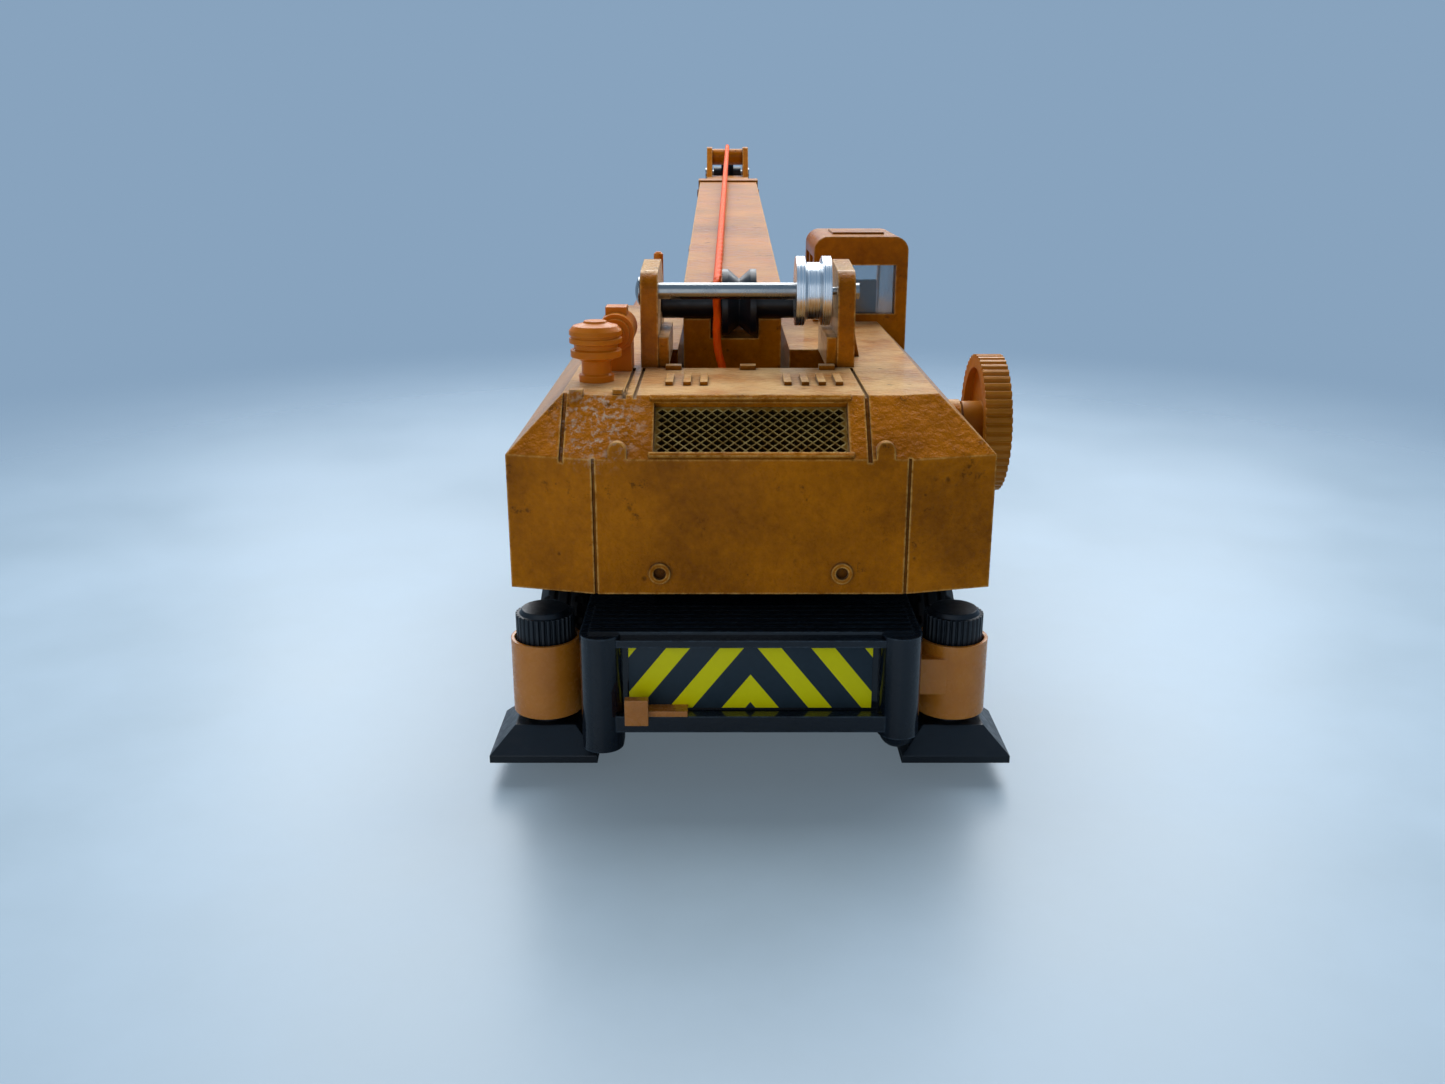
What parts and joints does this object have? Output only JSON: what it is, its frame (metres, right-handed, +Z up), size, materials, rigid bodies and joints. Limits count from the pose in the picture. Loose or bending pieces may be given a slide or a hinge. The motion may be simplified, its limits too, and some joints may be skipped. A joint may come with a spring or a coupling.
{
  "type": "toy truck crane",
  "caption": "Toy truck crane: low carrier on twin-axle groups with screw jacks, slewing housing, winch with handwheel and a telescopic boom with rope and hook.",
  "frame": {"origin": "on the ground under the slewing axis", "axes": "+X to the right seen from behind, +Y forward along the carrier, +Z up"},
  "size_m": [0.0585, 0.2254, 0.0653],
  "materials": {
    "black_paint": "gloss",
    "amber_paint": "thick gloss paint on a casting",
    "inner_boom_paint": "gloss",
    "floor_paint": "satin",
    "orange_plastic": "satin",
    "jack_plastic": "satin",
    "amber_plastic": "gloss",
    "black_plastic": "gloss",
    "interior_plastic": "matte",
    "clear_plastic": "clear",
    "lamp_plastic": "gloss",
    "steel": "bright",
    "wheel_steel": "satin",
    "tyre_rubber": "matte",
    "spool_aluminium": "turned",
    "rope": "twisted cord"
  },
  "bodies": {
    "carrier": {"chassis": "black_paint", "base_plate": "black_paint", "turntable_ring": "black_paint", "slew_pivot": "steel", "rear_marker": "amber_plastic", "driver_cab": "amber_paint", "driver_glazing": "clear_plastic", "driver_interior": "interior_plastic", "headlamps": "lamp_plastic"},
    "crane": {"crane_housing": "amber_paint", "crane_floor": "floor_paint", "radiator_grille": "amber_paint", "pre_cleaner": "orange_plastic", "air_cleaner": "orange_plastic", "exhaust_stack": "orange_plastic", "operator_cab": "amber_paint", "operator_glazing": "clear_plastic", "operator_seat": "interior_plastic", "guide_rod": "steel", "rope_lead": "rope"},
    "winch": {"winch_drum": "black_plastic", "handwheel": "orange_plastic", "rope_winding": "rope"},
    "spool": {"guide_spool": "spool_aluminium"},
    "pulley": {"grooved_pulley": "black_plastic"},
    "boom": {"boom_base": "amber_paint", "pivot_shaft": "black_plastic", "luff_pin": "steel", "rope_boom": "rope"},
    "middle_section": {"boom_middle": "inner_boom_paint"},
    "tip_section": {"boom_tip": "inner_boom_paint", "head_pin": "steel", "rope_tip": "rope"},
    "sheave": {"head_sheave": "black_plastic"},
    "barrel": {"luff_barrel": "black_plastic"},
    "piston": {"luff_rod": "steel"},
    "line": {"rope_fall": "rope"},
    "hook_block": {"hook_weight": "inner_boom_paint", "hook": "steel"},
    "rear_wheels": {"axle_rear": "wheel_steel", "tyres_rear": "tyre_rubber"},
    "third_wheels": {"axle_third": "wheel_steel", "tyres_third": "tyre_rubber"},
    "second_wheels": {"axle_second": "wheel_steel", "tyres_second": "tyre_rubber"},
    "front_wheels": {"axle_front": "wheel_steel", "tyres_front": "tyre_rubber"},
    "rear_left_beam": {"outrigger_rear_left": "jack_plastic"},
    "rear_left_float": {"float_rear_left": "black_plastic"},
    "rear_left_knob": {"knob_rear_left": "black_plastic"},
    "rear_right_beam": {"outrigger_rear_right": "jack_plastic"},
    "rear_right_float": {"float_rear_right": "black_plastic"},
    "rear_right_knob": {"knob_rear_right": "black_plastic"},
    "front_left_beam": {"outrigger_front_left": "jack_plastic"},
    "front_left_float": {"float_front_left": "black_plastic"},
    "front_left_knob": {"knob_front_left": "black_plastic"},
    "front_right_beam": {"outrigger_front_right": "jack_plastic"},
    "front_right_float": {"float_front_right": "black_plastic"},
    "front_right_knob": {"knob_front_right": "black_plastic"}
  },
  "joints": [
    {"name": "slew", "type": "hinge", "parent": "carrier", "child": "crane", "pos_m": [0, 0, 0], "axis": [0, 0, 1], "continuous": true},
    {"name": "boom_luff", "type": "hinge", "parent": "crane", "child": "boom", "pos_m": [-0.0017, -0.0225, 0.0471], "axis": [1, 0, 0], "range_deg": [-2, 56], "deforming": ["rope_lead"]},
    {"name": "barrel_swing", "type": "hinge", "parent": "crane", "child": "barrel", "pos_m": [-0.0017, -0.0175, 0.02453], "axis": [1, 0, 0], "range_deg": [-1, 28]},
    {"name": "piston_swing", "type": "hinge", "parent": "boom", "child": "piston", "pos_m": [-0.0017, -0.00122, 0.03806], "axis": [1, 0, 0], "range_deg": [-28, 1]},
    {"name": "middle_slide", "type": "slide", "parent": "boom", "child": "middle_section", "axis": [0, 0.9976, 0.0698], "range_m": [0, 0.055]},
    {"name": "tip_slide", "type": "slide", "parent": "middle_section", "child": "tip_section", "axis": [0, 0.9976, 0.0698], "range_m": [0, 0.055]},
    {"name": "sheave_turn", "type": "hinge", "parent": "tip_section", "child": "sheave", "pos_m": [-0.0017, 0.15816, 0.05825], "axis": [1, 0, 0], "continuous": true},
    {"name": "pulley_turn", "type": "hinge", "parent": "boom", "child": "pulley", "pos_m": [-0.0017, -0.0225, 0.0471], "axis": [1, 0, 0], "continuous": true},
    {"name": "spool_turn", "type": "hinge", "parent": "crane", "child": "spool", "pos_m": [0, -0.0295, 0.0492], "axis": [1, 0, 0], "continuous": true},
    {"name": "line_swing", "type": "hinge", "parent": "tip_section", "child": "line", "pos_m": [-0.0017, 0.15816, 0.05825], "axis": [1, 0, 0], "range_deg": [-56, 2]},
    {"name": "hook_hoist", "type": "slide", "parent": "line", "child": "hook_block", "axis": [0, 0, 1], "range_m": [-0.018, 0.008], "deforming": ["rope_fall"]},
    {"name": "winch_turn", "type": "hinge", "parent": "crane", "child": "winch", "pos_m": [0, -0.026, 0.033], "axis": [1, 0, 0], "range_deg": [-327.5, 145.61]},
    {"name": "rear_roll", "type": "hinge", "parent": "carrier", "child": "rear_wheels", "pos_m": [0, -0.0355, 0.0085], "axis": [1, 0, 0], "continuous": true},
    {"name": "third_roll", "type": "hinge", "parent": "carrier", "child": "third_wheels", "pos_m": [0, -0.0178, 0.0085], "axis": [1, 0, 0], "continuous": true},
    {"name": "second_roll", "type": "hinge", "parent": "carrier", "child": "second_wheels", "pos_m": [0, 0.06, 0.0085], "axis": [1, 0, 0], "continuous": true},
    {"name": "front_roll", "type": "hinge", "parent": "carrier", "child": "front_wheels", "pos_m": [0, 0.08, 0.0085], "axis": [1, 0, 0], "continuous": true},
    {"name": "rear_left_out", "type": "slide", "parent": "carrier", "child": "rear_left_beam", "axis": [-1, 0, 0], "range_m": [0, 0.014]},
    {"name": "rear_left_down", "type": "slide", "parent": "rear_left_beam", "child": "rear_left_float", "axis": [0, 0, -1], "range_m": [0, 0.0045]},
    {"name": "rear_left_screw", "type": "hinge", "parent": "rear_left_beam", "child": "rear_left_knob", "pos_m": [-0.022, -0.0502, 0], "axis": [0, 0, -1], "range_deg": [0, 810.1]},
    {"name": "rear_right_out", "type": "slide", "parent": "carrier", "child": "rear_right_beam", "axis": [1, 0, 0], "range_m": [0, 0.014]},
    {"name": "rear_right_down", "type": "slide", "parent": "rear_right_beam", "child": "rear_right_float", "axis": [0, 0, -1], "range_m": [0, 0.0045]},
    {"name": "rear_right_screw", "type": "hinge", "parent": "rear_right_beam", "child": "rear_right_knob", "pos_m": [0.022, -0.0502, 0], "axis": [0, 0, -1], "range_deg": [0, 810.1]},
    {"name": "front_left_out", "type": "slide", "parent": "carrier", "child": "front_left_beam", "axis": [-1, 0, 0], "range_m": [0, 0.014]},
    {"name": "front_left_down", "type": "slide", "parent": "front_left_beam", "child": "front_left_float", "axis": [0, 0, -1], "range_m": [0, 0.0045]},
    {"name": "front_left_screw", "type": "hinge", "parent": "front_left_beam", "child": "front_left_knob", "pos_m": [-0.022, 0.03, 0], "axis": [0, 0, -1], "range_deg": [0, 810.1]},
    {"name": "front_right_out", "type": "slide", "parent": "carrier", "child": "front_right_beam", "axis": [1, 0, 0], "range_m": [0, 0.014]},
    {"name": "front_right_down", "type": "slide", "parent": "front_right_beam", "child": "front_right_float", "axis": [0, 0, -1], "range_m": [0, 0.0045]},
    {"name": "front_right_screw", "type": "hinge", "parent": "front_right_beam", "child": "front_right_knob", "pos_m": [0.022, 0.03, 0], "axis": [0, 0, -1], "range_deg": [0, 810.1]}
  ],
  "couplings": [
    {"joint": "barrel_swing", "follows": "boom_luff", "ratio": 0.5},
    {"joint": "piston_swing", "follows": "boom_luff", "ratio": -0.5},
    {"joint": "line_swing", "follows": "boom_luff", "ratio": -1},
    {"joint": "winch_turn", "follows": "hook_hoist", "rad_per_m": 317.46},
    {"joint": "rear_left_screw", "follows": "rear_left_down", "rad_per_m": 3141.6},
    {"joint": "rear_right_screw", "follows": "rear_right_down", "rad_per_m": 3141.6},
    {"joint": "front_left_screw", "follows": "front_left_down", "rad_per_m": 3141.6},
    {"joint": "front_right_screw", "follows": "front_right_down", "rad_per_m": 3141.6}
  ]
}
